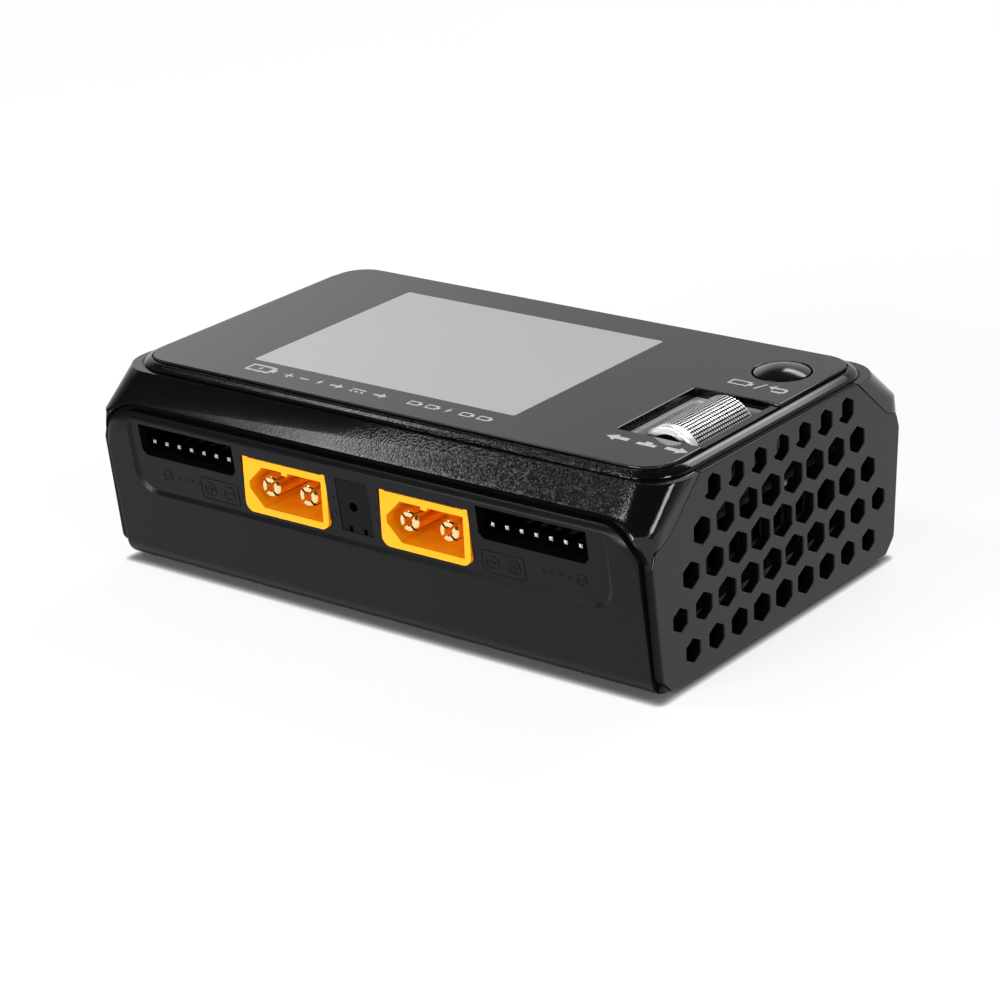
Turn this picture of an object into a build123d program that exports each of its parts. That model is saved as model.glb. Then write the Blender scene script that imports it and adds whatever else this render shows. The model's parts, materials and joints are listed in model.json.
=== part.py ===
from build123d import *
import math
import os

# Two-output balance battery charger, built as separate pieces.
#
# Millimetres. +X is right, -Y is the front with the ports, +Z is up. The origin is on the table,
# under the middle of the case. One STEP file is written for each piece.

# ---------------------------------------------------------------- case, driving dimensions
half_width = 50.6          # flat side faces
foot_height = 0.8          # gap under the case
lens_top = 32.0            # face of the lens
base_half_depth = 30.15    # where wall and floor planes meet
wall_lean = 0.122          # how far a wall leans out for each mm of height
slope_sum = 58.45          # |y| + z anywhere on the 45 degree bands
bottom_radius = 3.0
belt_radius = 5.0
side_edge_radius = 1.9     # edges round the side faces
# the corners in plan grow rounder from here up: radius at the start, at the belt and at the upper height
corner_start = 18.5
corner_start_radius = 1.5
corner_belt_radius = 4.2
corner_high = 34.0
corner_high_radius = 7.1
wall = 1.8                 # moulded wall
side_wall = 3.0            # side frame and grille together
frame_face = 48.9          # outer face of the side frame, behind the grille
clear = 0.1                # gap between two mouldings

# seam between top cover and housing
housing_top = 30.65
seam_depth = 1.3           # how far the cover's plate stands in from the housing's face
cover_plate_bottom = 29.8
neck_size = (48.6, 25.7, 5.8)     # half sizes and corner radius of the neck under the rim
rim_outer = ((49.5, 26.95, 7.0, 30.8), (49.2, 26.7, 6.8, 31.15), (48.75, 26.35, 6.6, 31.5),
             (48.35, 26.1, 6.4, 31.65))
rim_inner = ((47.8, 25.7, 5.2, 31.3), (48.2, 25.95, 6.2, 31.75))

# seam round the front and rear port walls
corner_foot = 20.9         # height where the housing's thin corner lips end
corner_inner = 50.1        # the lips are outside this half width
panel_half_width = 49.0
panel_top = 26.0
panel_corner = 6.0
seam_gap = 1.15
seam_cut = 1.2
side_lap = 0.45            # floor edge seen below the side faces

# port walls
recess_depth = 0.4
recess_half_width = 43.6
recess_bottom = 13.7
recess_top = 26.5
recess_corner = 3.2
recess_slope = 1.6         # how far the sloping edge spreads for each mm of depth
port_centre = -0.8         # middle of the front port row
port_z = 18.8
output_spacing = 12.95     # of each power output from the middle
balance_spacing = 31.97    # of each balance socket from the middle
socket_face = 32.1         # |y| of the yellow faces

# two-pin power connector
xt_width = 16.0
xt_height = 8.4
xt_length = 17.0
xt_wall = 1.05
xt_pitch = 7.2
xt_pin_radius = 1.75
xt_shoulder_radius = 2.0   # pin behind the floor of the socket
xt_pin_recess = 0.75
xt_pin_chamfer = 0.35
xt_cavity = 11.0
xt_corner_cut = 2.6
xt_outer_radius = 1.5      # lower outer corners

# balance socket
balance_pins = 7
balance_pitch = 2.5
balance_width = 18.8
balance_height = 5.0
balance_z = 21.9
balance_pin_z = 21.5
balance_wall = 0.9
balance_length = 9.0
balance_pin_tip = 31.4
balance_corner_cut = 0.8   # lower corners of the opening

# side grille
grille_thickness = 1.6
vent_pitch = 5.66
vent_row = 5.56
vent_mid_z = 16.7
vent_rows = ((2, 7), (1, 8), (0, 9), (-1, 10), (-2, 9))
vent_stretch = 1.08
vent_small = 1.8
vent_large = 2.55
top_vent_z = 27.6
top_vent_radius = 2.0
web_edge = -1.1            # side and foot of the web in each top hole, from its middle
web_foot = -0.6

# lens, screen
lens_half_x = 47.5
lens_half_y = 25.45
lens_corner = 4.8
lens_thickness = 0.9
screen_centre = (-6.7, 0.4)
lcd_size = (60.3, 42.7)
lcd_glass_thickness = 1.2
lcd_frame_thickness = 1.6

# roller
roller_x = 41.2
roller_z = 28.6
roller_radius = 4.8
roller_front = -13.9
roller_rear = 1.0
roller_travel = 0.5
notch_left = 33.3
notch_right = 46.35
notch_front = -14.8
notch_rear = 4.4
axle_radius = 0.9

# exit button
button_centre = (40.35, 16.1)
button_radius = 4.15
button_dome = 0.95
button_travel = 0.6
switch_floor = 21.05       # bottom of the well in each switch
switch_spare = 0.15        # left under the plunger when the key is right down

# boards
main_board_z = 6.6
main_board_thickness = 1.6
ui_board_z = 20.0
ui_board_thickness = 1.0

# fan
fan_size = 25.0
fan_depth = 10.0
fan_z = 15.6
fan_x = -42.3              # middle of the fan, near the left grille
fan_bore = 11.9
blade_radius = 11.3
hub_radius = 5.6
blade_count = 7


# ---------------------------------------------------------------- places of posts, feet and rear ports
board_posts = [(-33.0, -16.0), (-33.0, 23.0), (35.5, -16.8), (36.0, 23.0)]
case_posts = [(-45.9, -24.5), (-45.9, 24.5), (45.9, -24.5), (45.9, 24.5)]
foot_places = [(-37.0, -21.0), (-37.0, 21.0), (37.0, -21.0), (37.0, 21.0)]
foot_radius = 4.0
ui_posts = [(27.0, -9.5), (33.0, 17.5), (45.0, 7.0)]
input_x = 22.0
usb_x = -12.0
usb_z = 16.4
usb_width = 13.4
usb_height = 6.0
switch_y = -6.5
cradle_z = 22.85


# ---------------------------------------------------------------- small helpers
def block(x0, x1, y0, y1, z0, z1):
    """A box between two corners."""
    return Pos((x0 + x1) / 2, (y0 + y1) / 2, (z0 + z1) / 2) * Box(x1 - x0, y1 - y0, z1 - z0)


def rod_x(y, z, x0, x1, radius):
    return Pos((x0 + x1) / 2, y, z) * Rot(0, 90, 0) * Cylinder(radius, x1 - x0)


def rod_y(x, z, y0, y1, radius):
    return Pos(x, (y0 + y1) / 2, z) * Rot(90, 0, 0) * Cylinder(radius, y1 - y0)


def rod_z(x, y, z0, z1, radius):
    return Pos(x, y, (z0 + z1) / 2) * Cylinder(radius, z1 - z0)


def join(shapes):
    """Fuse a list of shapes into one part."""
    result = shapes[0]
    for shape in shapes[1:]:
        result = result + shape
    return result


def group(shapes):
    """Keep separate solids together in one node."""
    solids = []
    for shape in shapes:
        solids.extend(shape.solids())
    return Compound(children=solids)


def save(name, shape):
    shape.label = name
    export_step(shape, "parts/" + name + ".step")


def mirror_y(shape):
    return mirror(shape, about=Plane.XZ)


def mirror_x(shape):
    return mirror(shape, about=Plane.YZ)


# ---------------------------------------------------------------- outer form of the case
def wall_y(z):
    """Distance of the wall's outer face from the middle, at a height."""
    return base_half_depth + wall_lean * (z - foot_height)


def wall_half(z, inset):
    """Half depth of the case at a height on the leaning walls, moved in by inset."""
    return wall_y(z) - inset * math.hypot(1, wall_lean)


def slope_half(z, inset):
    """Half depth of the case at a height on the 45 degree bands, moved in by inset."""
    return slope_sum - inset * math.sqrt(2) - z


def belt_height(inset):
    """Height where the leaning wall meets the 45 degree band."""
    return (slope_half(0, inset) - wall_half(0, inset)) / (1 + wall_lean)


def side_profile(inset):
    """Cross-section of the case, the same from end to end, moved in by inset."""
    low = foot_height + inset
    high = lens_top - inset
    half_base = wall_half(low, inset)
    belt_z = belt_height(inset)
    belt_y = slope_half(belt_z, inset)
    top_half = slope_half(high, inset)
    outline = Polyline(
        [(-half_base, low), (half_base, low), (belt_y, belt_z), (top_half, high),
         (-top_half, high), (-belt_y, belt_z)],
        close=True,
    )
    face = make_face(outline)
    face = fillet([v for v in face.vertices() if v.Y < low + 0.1], max(bottom_radius - inset, 0.5))
    return fillet([v for v in face.vertices() if abs(v.Y - belt_z) < 0.01], belt_radius - inset)


def full_prism(inset, half_length):
    """The side profile pushed through the case from end to end."""
    return extrude(Plane.YZ * side_profile(inset), amount=half_length, both=True)


def case_form(inset):
    """Outer form of the closed case, moved in by inset."""
    half = half_width - inset
    form = full_prism(inset, half)
    faces = form.faces().sort_by(Axis.X)
    chosen = []
    for face in (faces[0], faces[-1]):
        top_edge = face.edges().sort_by(Axis.Z)[-1]
        chosen.extend([edge for edge in face.edges() if edge != top_edge])
    form = fillet(chosen, max(side_edge_radius - inset, 0.3))
    # the corners of the case grow rounder upwards
    belt_z = belt_height(inset)
    levels = ((corner_start, wall_half(corner_start, inset), corner_start_radius),
              (belt_z, slope_half(belt_z, inset), corner_belt_radius - inset),
              (corner_high, slope_half(corner_high, inset), corner_high_radius - inset))
    sections = [Plane.XY.offset(z) * RectangleRounded(2 * half, 2 * depth, max(radius, 0.3))
                for z, depth, radius in levels]
    above = block(-60, 60, -45, 45, corner_start, corner_high)
    return form - (above - loft(sections, ruled=True))


def port_panel(half_x, top, corner):
    """Front outline of the port walls, pushed through from front to rear."""
    face = make_face(Polyline([(-half_x, -5), (half_x, -5), (half_x, top), (-half_x, top)], close=True))
    face = fillet([v for v in face.vertices() if v.Y > 0], corner)
    return extrude(Plane.XZ * face, amount=50, both=True)


def grille_outline(grow):
    """Outline of the flat side panel, pushed along X."""
    top = housing_top + grow
    points = [(19.9, top), (27.9, 23.75), (30.75, 22.8), (31.5, 20.5), (29.9, 3.6), (27.6, 1.4)]
    right = [(y + grow, z) for y, z in points[1:]]
    right[-1] = (points[-1][0] + grow, points[-1][1] - grow)
    corners = [(19.9 + grow, top)] + right
    outline = corners + [(-y, z) for y, z in reversed(corners)]
    return extrude(Plane.YZ * make_face(Polyline(outline, close=True)), amount=60, both=True)


# ---------------------------------------------------------------- case pieces
def balance_opening(x, y0, y1):
    """Opening of a balance socket, with its lower corners cut off."""
    half = balance_width / 2
    low = balance_z - balance_height / 2
    high = balance_z + balance_height / 2
    cut = balance_corner_cut
    outline = [(x - half, low + cut), (x - half + cut, low), (x + half - cut, low), (x + half, low + cut),
               (x + half, high), (x - half, high)]
    opening = extrude(Plane.XZ * make_face(Polyline(outline, close=True)), amount=y1 - y0)
    return Pos(0, y1, 0) * opening


def power_window(x, y0, y1):
    """Window round a power socket, with the same lower corners."""
    half = xt_width / 2 + clear
    low = port_z - xt_height / 2 - clear
    high = port_z + xt_height / 2 + 0.35
    outline = make_face(Polyline([(x - half, low), (x + half, low), (x + half, high), (x - half, high)],
                                 close=True))
    outline = fillet([v for v in outline.vertices() if v.Y < port_z], xt_outer_radius)
    return Pos(0, y1, 0) * extrude(Plane.XZ * outline, amount=y1 - y0)


def wall_windows():
    """Cut-outs in the front and rear port walls."""
    cuts = []
    for side in (-1, 1):
        x = port_centre + side * output_spacing
        cuts.append(power_window(x, -36, -26))
        x = port_centre + side * balance_spacing
        cuts.append(balance_opening(x, -36, -26))
    cuts.append(block(port_centre - 2.95, port_centre + 2.95, -36, -26, 15.0, 23.4))
    cuts.append(power_window(input_x, 26, 36))
    cuts.append(block(usb_x - usb_width / 2, usb_x + usb_width / 2, 26, 36,
                      usb_z - usb_height / 2, usb_z + usb_height / 2))
    return cuts


def port_recess():
    """Shallow recess round the ports with sloping edges, front and rear."""
    floor_y = wall_y(recess_bottom) - recess_depth
    rise = recess_top - recess_bottom
    height = math.hypot(rise, rise * wall_lean)
    plane = Plane(origin=(0, -floor_y, recess_bottom), x_dir=(1, 0, 0), z_dir=(0, -1, -wall_lean))
    sections = []
    for depth in (0, 2.5 * recess_depth):
        grow = depth * recess_slope
        outline = RectangleRounded(2 * (recess_half_width + grow), height + 2 * grow, recess_corner + grow)
        sections.append(plane * Pos(0, height / 2, depth) * outline)
    front = loft(sections, ruled=True)
    return front + mirror_y(front)


def lower_shell():
    band = case_form(0) - full_prism(wall, 60)
    inner = port_panel(panel_half_width, panel_top, panel_corner)
    outer = port_panel(panel_half_width + seam_gap, panel_top + seam_gap * 0.8, panel_corner + seam_gap)
    strip = block(-60, 60, -40, 40, -1, foot_height + side_lap)
    shell = band & (outer + strip)
    shell = shell - block(-60, 60, -25, 25, 10, 40)
    # shadow gap round each port wall
    shell = shell - ((outer - inner) - full_prism(seam_cut, 60) - block(-60, 60, -29, 29, -5, 6))
    # the side panels and frames stand on the floor
    side_zone = block(-60, 60, -30, 30, foot_height + side_lap, 40) - block(-47.5, 47.5, -40, 40, -5, 45)
    shell = shell - (side_zone & full_prism(wall - 0.2, 60))
    shell = shell - (grille_outline(clear) - block(-frame_face, frame_face, -60, 60, -60, 60))
    shell = shell - port_recess()
    for cut in wall_windows():
        shell = shell - cut
    for x, y in board_posts:
        shell = shell + rod_z(x, y, foot_height + wall - 0.5, main_board_z, 2.6)
        shell = shell - rod_z(x, y, foot_height + 0.6, main_board_z + 1, 1.2)
    for x, y in case_posts:
        shell = shell - rod_z(x, y, foot_height - 1, foot_height + wall + 1, 1.35)
        shell = shell - rod_z(x, y, foot_height - 1, foot_height + 1.1, 2.6)
    for x, y in foot_places:
        shell = shell - rod_z(x, y, foot_height - 1, foot_height + 0.5, foot_radius + clear)
    return shell


def lower_shell_space():
    """Room that the lower shell takes, with the gap between mouldings."""
    outer = port_panel(panel_half_width + seam_gap + clear, panel_top + seam_gap * 0.8 + clear,
                       panel_corner + seam_gap)
    strip = block(-60, 60, -40, 40, -1, foot_height + side_lap + clear)
    floor = block(-47.6, 47.6, -40, 40, -1, foot_height + wall + clear)
    return (outer - full_prism(wall + clear, 60)) + strip + floor


def upper_housing():
    cavity = full_prism(wall, half_width - side_wall)
    shell = case_form(0) - cavity
    shell = shell & block(-60, 60, -45, 45, -1, housing_top)
    shell = shell - lower_shell_space()
    shell = shell - (case_form(seam_depth - clear) & block(-60, 60, -45, 45, cover_plate_bottom - clear, 40))
    shell = shell - (grille_outline(clear) - block(-frame_face, frame_face, -60, 60, -60, 60))
    window = grille_outline(-2.6) & block(-60, 60, -45, 45, 4.2, housing_top - 1.6)
    shell = shell - window
    for x, y in case_posts:
        post = rod_z(x, y, foot_height + wall + clear, 25.5, 2.6)
        shell = shell + (post & full_prism(wall - 0.2, 48.5))
        shell = shell - rod_z(x, y, foot_height, 14.0, 1.2)
    # the corners end above the groove between the port walls and the side panels
    ends = block(-60, 60, -45, 45, -1, corner_foot) - block(-corner_inner, corner_inner, -45, 45, -1, 40)
    return shell - ends


def vent_radius(y, z):
    """Vents shrink from the middle of the panel to its edge."""
    distance = (y / 27.0) ** 2 + ((z - vent_mid_z) / 17.0) ** 2
    return vent_small + (vent_large - vent_small) * max(0.0, 1 - distance)


def vent_cut(y, z, radius):
    """One pointed-top hexagon through the panel."""
    points = []
    for corner in range(6):
        angle = math.radians(90 + 60 * corner)
        points.append((y + vent_stretch * radius * math.cos(angle), z + radius * math.sin(angle)))
    face = make_face(Polyline(points, close=True))
    return extrude(Plane.YZ * face, amount=60)


def side_grille(direction):
    """Honeycomb side panel; a web closes part of each hole in the top row."""
    half = block(half_width - grille_thickness, half_width, -60, 60, -60, 60)
    panel = grille_outline(0) & case_form(0) & half
    panel = panel - (case_form(seam_depth - clear) & block(0, 60, -45, 45, cover_plate_bottom - clear, 40))
    cuts = []
    for row, count in vent_rows:
        for index in range(count):
            y = (index - (count - 1) / 2) * vent_pitch
            if row == 2:
                web = block(0, 60, y - 3, y + web_edge, top_vent_z + web_foot, top_vent_z + 3)
                cuts.append(vent_cut(y, top_vent_z, top_vent_radius) - web)
            else:
                z = vent_mid_z + row * vent_row
                cuts.append(vent_cut(y, z, vent_radius(y, z)))
    panel = panel - cuts
    if direction < 0:
        panel = mirror_x(panel)
    return panel


# ---------------------------------------------------------------- top cover, lens, screen
def lens_outline(grow, z0, z1):
    plate = RectangleRounded(2 * (lens_half_x + grow), 2 * (lens_half_y + grow), lens_corner + grow)
    return Pos(0, 0, z0) * extrude(plate, amount=z1 - z0)


def rounded_loft(sections):
    """Straight walls between rounded rectangles, given as half sizes, corner radius and height."""
    return loft([Plane.XY.offset(z) * RectangleRounded(2 * half_x, 2 * half_y, radius)
                 for half_x, half_y, radius, z in sections], ruled=True)


def top_cover():
    """Plate under the lens, a neck in the groove, and a bevelled rim that stands round the lens."""
    plate = case_form(seam_depth) & block(-60, 60, -45, 45, cover_plate_bottom, housing_top)
    neck_x, neck_y, neck_radius = neck_size
    neck = RectangleRounded(2 * neck_x, 2 * neck_y, neck_radius)
    neck = Pos(0, 0, housing_top - 0.2) * extrude(neck, amount=0.5)
    cover = plate + neck + rounded_loft(rim_outer)
    pocket_floor = lens_top - lens_thickness
    cover = cover - lens_outline(clear, pocket_floor, 40) - rounded_loft(rim_inner)
    strip = block(notch_right, lens_half_x, notch_front + 0.2, notch_rear - 0.2,
                  pocket_floor, lens_top - 0.3)
    cover = cover + strip
    sx, sy = screen_centre
    cover = cover - block(sx - lcd_size[0] / 2 - clear, sx + lcd_size[0] / 2 + clear,
                          sy - lcd_size[1] / 2 - clear, sy + lcd_size[1] / 2 + clear, 20, 40)
    cover = cover - block(notch_left, notch_right, notch_front, notch_rear, 20, 40)
    cover = cover - rod_z(*button_centre, 20, 40, button_radius + 0.3)
    for x, y in ui_posts:
        cover = cover + rod_z(x, y, ui_board_z + ui_board_thickness, cover_plate_bottom + 0.3, 1.9)
        cover = cover - rod_z(x, y, ui_board_z, ui_board_z + 6, 0.8)
    return cover


def lens_window():
    lens = lens_outline(0, lens_top - lens_thickness, lens_top)
    lens = lens - block(notch_left, 60, notch_front, notch_rear, 20, 40)
    return lens - rod_z(*button_centre, 20, 40, button_radius + 0.3)


def lcd_glass():
    sx, sy = screen_centre
    top = lens_top - lens_thickness
    return block(sx - lcd_size[0] / 2, sx + lcd_size[0] / 2, sy - lcd_size[1] / 2, sy + lcd_size[1] / 2,
                 top - lcd_glass_thickness, top)


def lcd_frame():
    """Folded metal pan behind the glass, with its backlight and four corner tabs."""
    sx, sy = screen_centre
    top = lens_top - lens_thickness - lcd_glass_thickness
    half_x = lcd_size[0] / 2
    half_y = lcd_size[1] / 2
    pan = block(sx - half_x, sx + half_x, sy - half_y, sy + half_y, top - lcd_frame_thickness, top)
    pan = pan - block(sx - half_x + 2, sx + half_x - 2, sy - half_y + 2, sy + half_y - 2,
                      top - lcd_frame_thickness - 1, top - lcd_frame_thickness + 0.3)
    return pan


def roller_well():
    """Thin grey ledge on two sides of the roller, on flanges under the cover."""
    low = cover_plate_bottom
    inner_x = notch_left + 1.1
    inner_y = notch_rear - 1.1
    ledge = block(notch_left + clear, notch_right - clear, notch_front + clear, notch_rear - clear,
                  low - 0.1, low + 0.8)
    side_flange = block(notch_left - 1.3, inner_x + 0.4, notch_front + clear, notch_rear + 1.4,
                        low - 0.8, low)
    rear_flange = block(notch_left, 42.5, inner_y - 0.1, notch_rear + 1.4, low - 0.8, low)
    return ledge + side_flange + rear_flange - block(inner_x, 60, -20, inner_y, 20, 40)


# ---------------------------------------------------------------- roller
def roller_wheel():
    wheel = rod_y(roller_x, roller_z, roller_front, roller_rear, roller_radius)
    wheel = chamfer(wheel.edges().filter_by(GeomType.CIRCLE), 0.25)
    wheel = wheel - rod_y(roller_x, roller_z, roller_front - 1, roller_rear + 1, axle_radius + 0.05)
    return wheel - rod_y(roller_x, roller_z, -7.0, roller_rear + 1, 3.65)


def roller_axle():
    return rod_y(roller_x, roller_z, -15.6, 2.9, axle_radius)


def roller_carrier():
    """U-shaped cradle that rises and falls with the roller."""
    cradle = block(36.7, 45.7, -15.7, 2.7, cradle_z, cradle_z + 0.7)
    for y0, y1 in ((-15.7, -14.7), (1.7, 2.7)):
        cradle = cradle + block(38.7, 43.7, y0, y1, cradle_z, 29.7)
    return cradle - rod_y(roller_x, roller_z, -17, 4, axle_radius)


def roller_encoder():
    """Encoder drum, fixed to the cradle inside the hollow end of the roller."""
    drum = rod_y(roller_x, roller_z, -6.6, 1.7, 3.3)
    return drum - rod_y(roller_x, roller_z, -7, 2, axle_radius)


def roller_guide():
    """Two rails on the display board that keep the cradle upright."""
    rails = []
    for x0, x1 in ((35.4, 36.35), (46.05, 47.0)):
        rails.append(block(x0, x1, -11.0, -1.0, ui_board_z + ui_board_thickness, 26.0))
    return group(rails)


def switch_base(x, y, well_radius):
    z = ui_board_z + ui_board_thickness
    base = block(x - 3, x + 3, y - 3, y + 3, z, z + 1.1)
    return base - rod_z(x, y, switch_floor, z + 3, well_radius)


def exit_button():
    x, y = button_centre
    rise = button_dome
    sphere_radius = (button_radius ** 2 + rise ** 2) / (2 * rise)
    cap = rod_z(x, y, 29.0, lens_top + rise, button_radius)
    cap = cap & (Pos(x, y, lens_top + rise - sphere_radius) * Sphere(sphere_radius))
    flange = rod_z(x, y, 28.6, 29.5, button_radius + 0.9)
    stem = rod_z(x, y, 23.0, 28.8, 1.5)
    return cap + flange + stem


# ---------------------------------------------------------------- connectors
def power_socket(x, face_y, direction):
    """Yellow two-pin housing; direction -1 faces the front, +1 the rear."""
    half = xt_width / 2
    low = port_z - xt_height / 2
    high = port_z + xt_height / 2
    outline = make_face(Polyline([(-half, low), (half, low), (half, high), (-half, high)], close=True))
    outline = fillet([v for v in outline.vertices() if v.Y < port_z], xt_outer_radius)
    body = extrude(Plane.XZ * outline, amount=xt_length)
    for side in (-1, 1):
        ear_x = side * (half - 0.45)
        body = body + block(ear_x - 0.45, ear_x + 0.45, -xt_length, 0, high - 0.1, high + 0.25)
    cut = xt_corner_cut
    inner_half = half - xt_wall
    inner_low = low + xt_wall
    inner_high = high - xt_wall
    cavity = make_face(Polyline([(-inner_half, inner_low + cut), (cut - inner_half, inner_low),
                                 (inner_half, inner_low), (inner_half, inner_high),
                                 (cut - inner_half, inner_high), (-inner_half, inner_high - cut)],
                                close=True))
    hollow = extrude(Plane.XZ * cavity, amount=-xt_cavity)
    hollow = Pos(0, -xt_length, 0) * hollow
    body = body - hollow
    body = body + block(-0.55, 0.55, -xt_length, 1 - xt_length, inner_high - 0.5, inner_high + 0.1)
    for side in (-1, 1):
        body = body - rod_y(side * xt_pitch / 2, port_z, -xt_length - 1, 1, xt_shoulder_radius)
    body = Pos(0, xt_length, 0) * body
    if direction > 0:
        body = Rot(0, 0, 180) * body
    return Pos(x, direction * face_y, 0) * body


def power_pins(x, face_y, direction):
    """Two split bullet pins on shoulders, with legs down to the main board."""
    pins = []
    for side in (-1, 1):
        px = side * xt_pitch / 2
        pin = rod_y(px, port_z, xt_pin_recess, xt_cavity + 0.5, xt_pin_radius)
        tip = pin.faces().sort_by(Axis.Y)[0].edges()
        pin = chamfer(tip, xt_pin_chamfer)
        pin = pin - rod_y(px, port_z, -1, 8.0, 0.75)
        for angle in (45, -45):
            slot = Pos(px, 0, port_z) * Rot(0, angle, 0) * block(-3, 3, -1, 7.5, -0.2, 0.2)
            pin = pin - slot
        pin = pin + rod_y(px, port_z, xt_cavity, xt_length + 1.6, xt_shoulder_radius)
        leg = block(px - 1.2, px + 1.2, xt_length + 0.6, xt_length + 1.6,
                    main_board_z + main_board_thickness, port_z)
        pins.append(pin + leg)
    if direction > 0:
        pins = [Rot(0, 0, 180) * pin for pin in pins]
    return group([Pos(x, direction * face_y, 0) * pin for pin in pins])


def balance_socket(x):
    half = balance_width / 2 + balance_wall
    low = balance_z - balance_height / 2
    high = balance_z + balance_height / 2
    body = block(x - half, x + half, -30.3, -30.3 + balance_length, low - balance_wall, high + balance_wall)
    body = body - balance_opening(x, -31, -24.2)
    for index in range(balance_pins):
        px = x + (index - (balance_pins - 1) / 2) * balance_pitch
        body = body - block(px - 0.32, px + 0.32, -32, -15, balance_pin_z - 0.32, balance_pin_z + 0.32)
    return body


def balance_pin_row(x):
    """Square pins, bent down behind the socket."""
    back = -30.3 + balance_length + 0.7
    row = []
    for index in range(balance_pins):
        px = x + (index - (balance_pins - 1) / 2) * balance_pitch
        pin = block(px - 0.32, px + 0.32, -balance_pin_tip, back, balance_pin_z - 0.32, balance_pin_z + 0.32)
        pin = chamfer(pin.faces().sort_by(Axis.Y)[0].edges(), 0.16)
        leg = block(px - 0.32, px + 0.32, back - 0.64, back, main_board_z + main_board_thickness,
                    balance_pin_z)
        row.append(pin + leg)
    return group(row)


def signal_port():
    """Blanking insert with one small hole and two notches between the power outputs."""
    x = port_centre
    insert = block(x - 2.85, x + 2.85, -36, -28.6, 15.1, 23.3) & full_prism(recess_depth + 0.05, 60)
    insert = insert - rod_y(x - 0.2, 19.2, -36, -29.5, 0.75)
    for offset in (-1.6, 1.1):
        insert = insert - block(x + offset, x + offset + 0.7, -36, -30.4, 15.0, 16.0)
    return insert


def usb_socket():
    """Metal shell, open to the rear."""
    half_x = usb_width / 2 - clear
    half_z = usb_height / 2 - clear
    outer = block(usb_x - half_x, usb_x + half_x, 19.0, 32.0, usb_z - half_z, usb_z + half_z)
    inner = block(usb_x - half_x + 0.4, usb_x + half_x - 0.4, 20.0, 40, usb_z - half_z + 0.4,
                  usb_z + half_z - 0.4)
    shell = outer - inner
    for side in (-1, 1):
        shell = shell + block(usb_x + side * 5.0 - 0.6, usb_x + side * 5.0 + 0.6, 20.0, 22.0,
                              main_board_z + main_board_thickness, usb_z - half_z + 0.2)
    return shell


def usb_tongue():
    half_x = usb_width / 2 - 1.4
    z = usb_z + 0.5
    return block(usb_x - half_x, usb_x + half_x, 20.0, 30.5, z - 0.1, z + 1.1)


# ---------------------------------------------------------------- electronics
def main_board():
    board = block(-35.5, 47.0, -27.0, 27.0, main_board_z, main_board_z + main_board_thickness)
    for side in (-1, 1):
        y0, y1 = sorted((side * 20.5, side * 28.0))
        board = board - block(41.5, 48, y0, y1, 0, 12)
    for x, y in board_posts:
        board = board - rod_z(x, y, 0, 12, 1.4)
    return board


def ui_board():
    z = ui_board_z
    board = block(15.0, 47.2, -12.8, 12.8, z, z + ui_board_thickness)
    board = board + block(30.5, 47.2, 12.8, 21.0, z, z + ui_board_thickness)
    for x, y in ui_posts:
        board = board - rod_z(x, y, 0, 40, 0.9)
    return board


def heatsink():
    """Extruded aluminium, fins along the air flow."""
    base_low = 11.0
    sink = block(16.0, 46.0, -13.0, 13.0, base_low, base_low + 1.8)
    count = 10
    for index in range(count):
        y = -13.0 + index * (26.0 - 0.9) / (count - 1)
        sink = sink + block(16.0, 46.0, y, y + 0.9, base_low + 1.8, 18.6)
    return sink


def transistors():
    top = main_board_z + main_board_thickness
    parts = []
    for column in range(4):
        for row in range(3):
            x = 20.0 + column * 7.0
            y = -8.0 + row * 8.5
            parts.append(block(x - 2.6, x + 2.6, y - 3.1, y + 3.1, top, 11.0))
    return group(parts)


def inductors():
    top = main_board_z + main_board_thickness
    parts = []
    for x, y in ((-25.0, -6.9), (-25.0, 5.5), (-12.2, -6.9), (-12.2, 5.5)):
        core = block(x - 5.8, x + 5.8, y - 5.8, y + 5.8, top, top + 8.0)
        parts.append(chamfer(core.edges().filter_by(Axis.Z), 1.6))
    return group(parts)


def capacitors():
    top = main_board_z + main_board_thickness
    parts = []
    for index in range(5):
        parts.append(rod_z(-25.0 + index * 8.0, 15.3, top, top + 11.0, 3.6))
    return group(parts)


def control_chip():
    top = main_board_z + main_board_thickness
    return block(2.0, 12.0, -9.0, 1.0, top, top + 1.2)


def shunts():
    top = main_board_z + main_board_thickness
    return group([block(x - 3.2, x + 3.2, -24.5, -21.5, top, top + 0.9) for x in (-30.0, 0.0, 24.0)])


def buzzer():
    top = main_board_z + main_board_thickness
    body = rod_z(7.0, 6.0, top, top + 5.0, 4.3)
    return body - rod_z(7.0, 6.0, top + 3.0, top + 6.0, 1.0)


def display_ribbon():
    """Flat ribbon from the screen down to the display board."""
    x0, x1 = 16.5, 22.5
    top = lens_top - lens_thickness - lcd_glass_thickness - lcd_frame_thickness
    low = ui_board_z + ui_board_thickness
    upper = block(x0, x1, 5.0, 11.2, top - 0.2, top)
    drop = block(x0, x1, 11.0, 11.2, low, top)
    lower = block(x0, x1, 7.0, 11.2, low, low + 0.2)
    return upper + drop + lower


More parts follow.
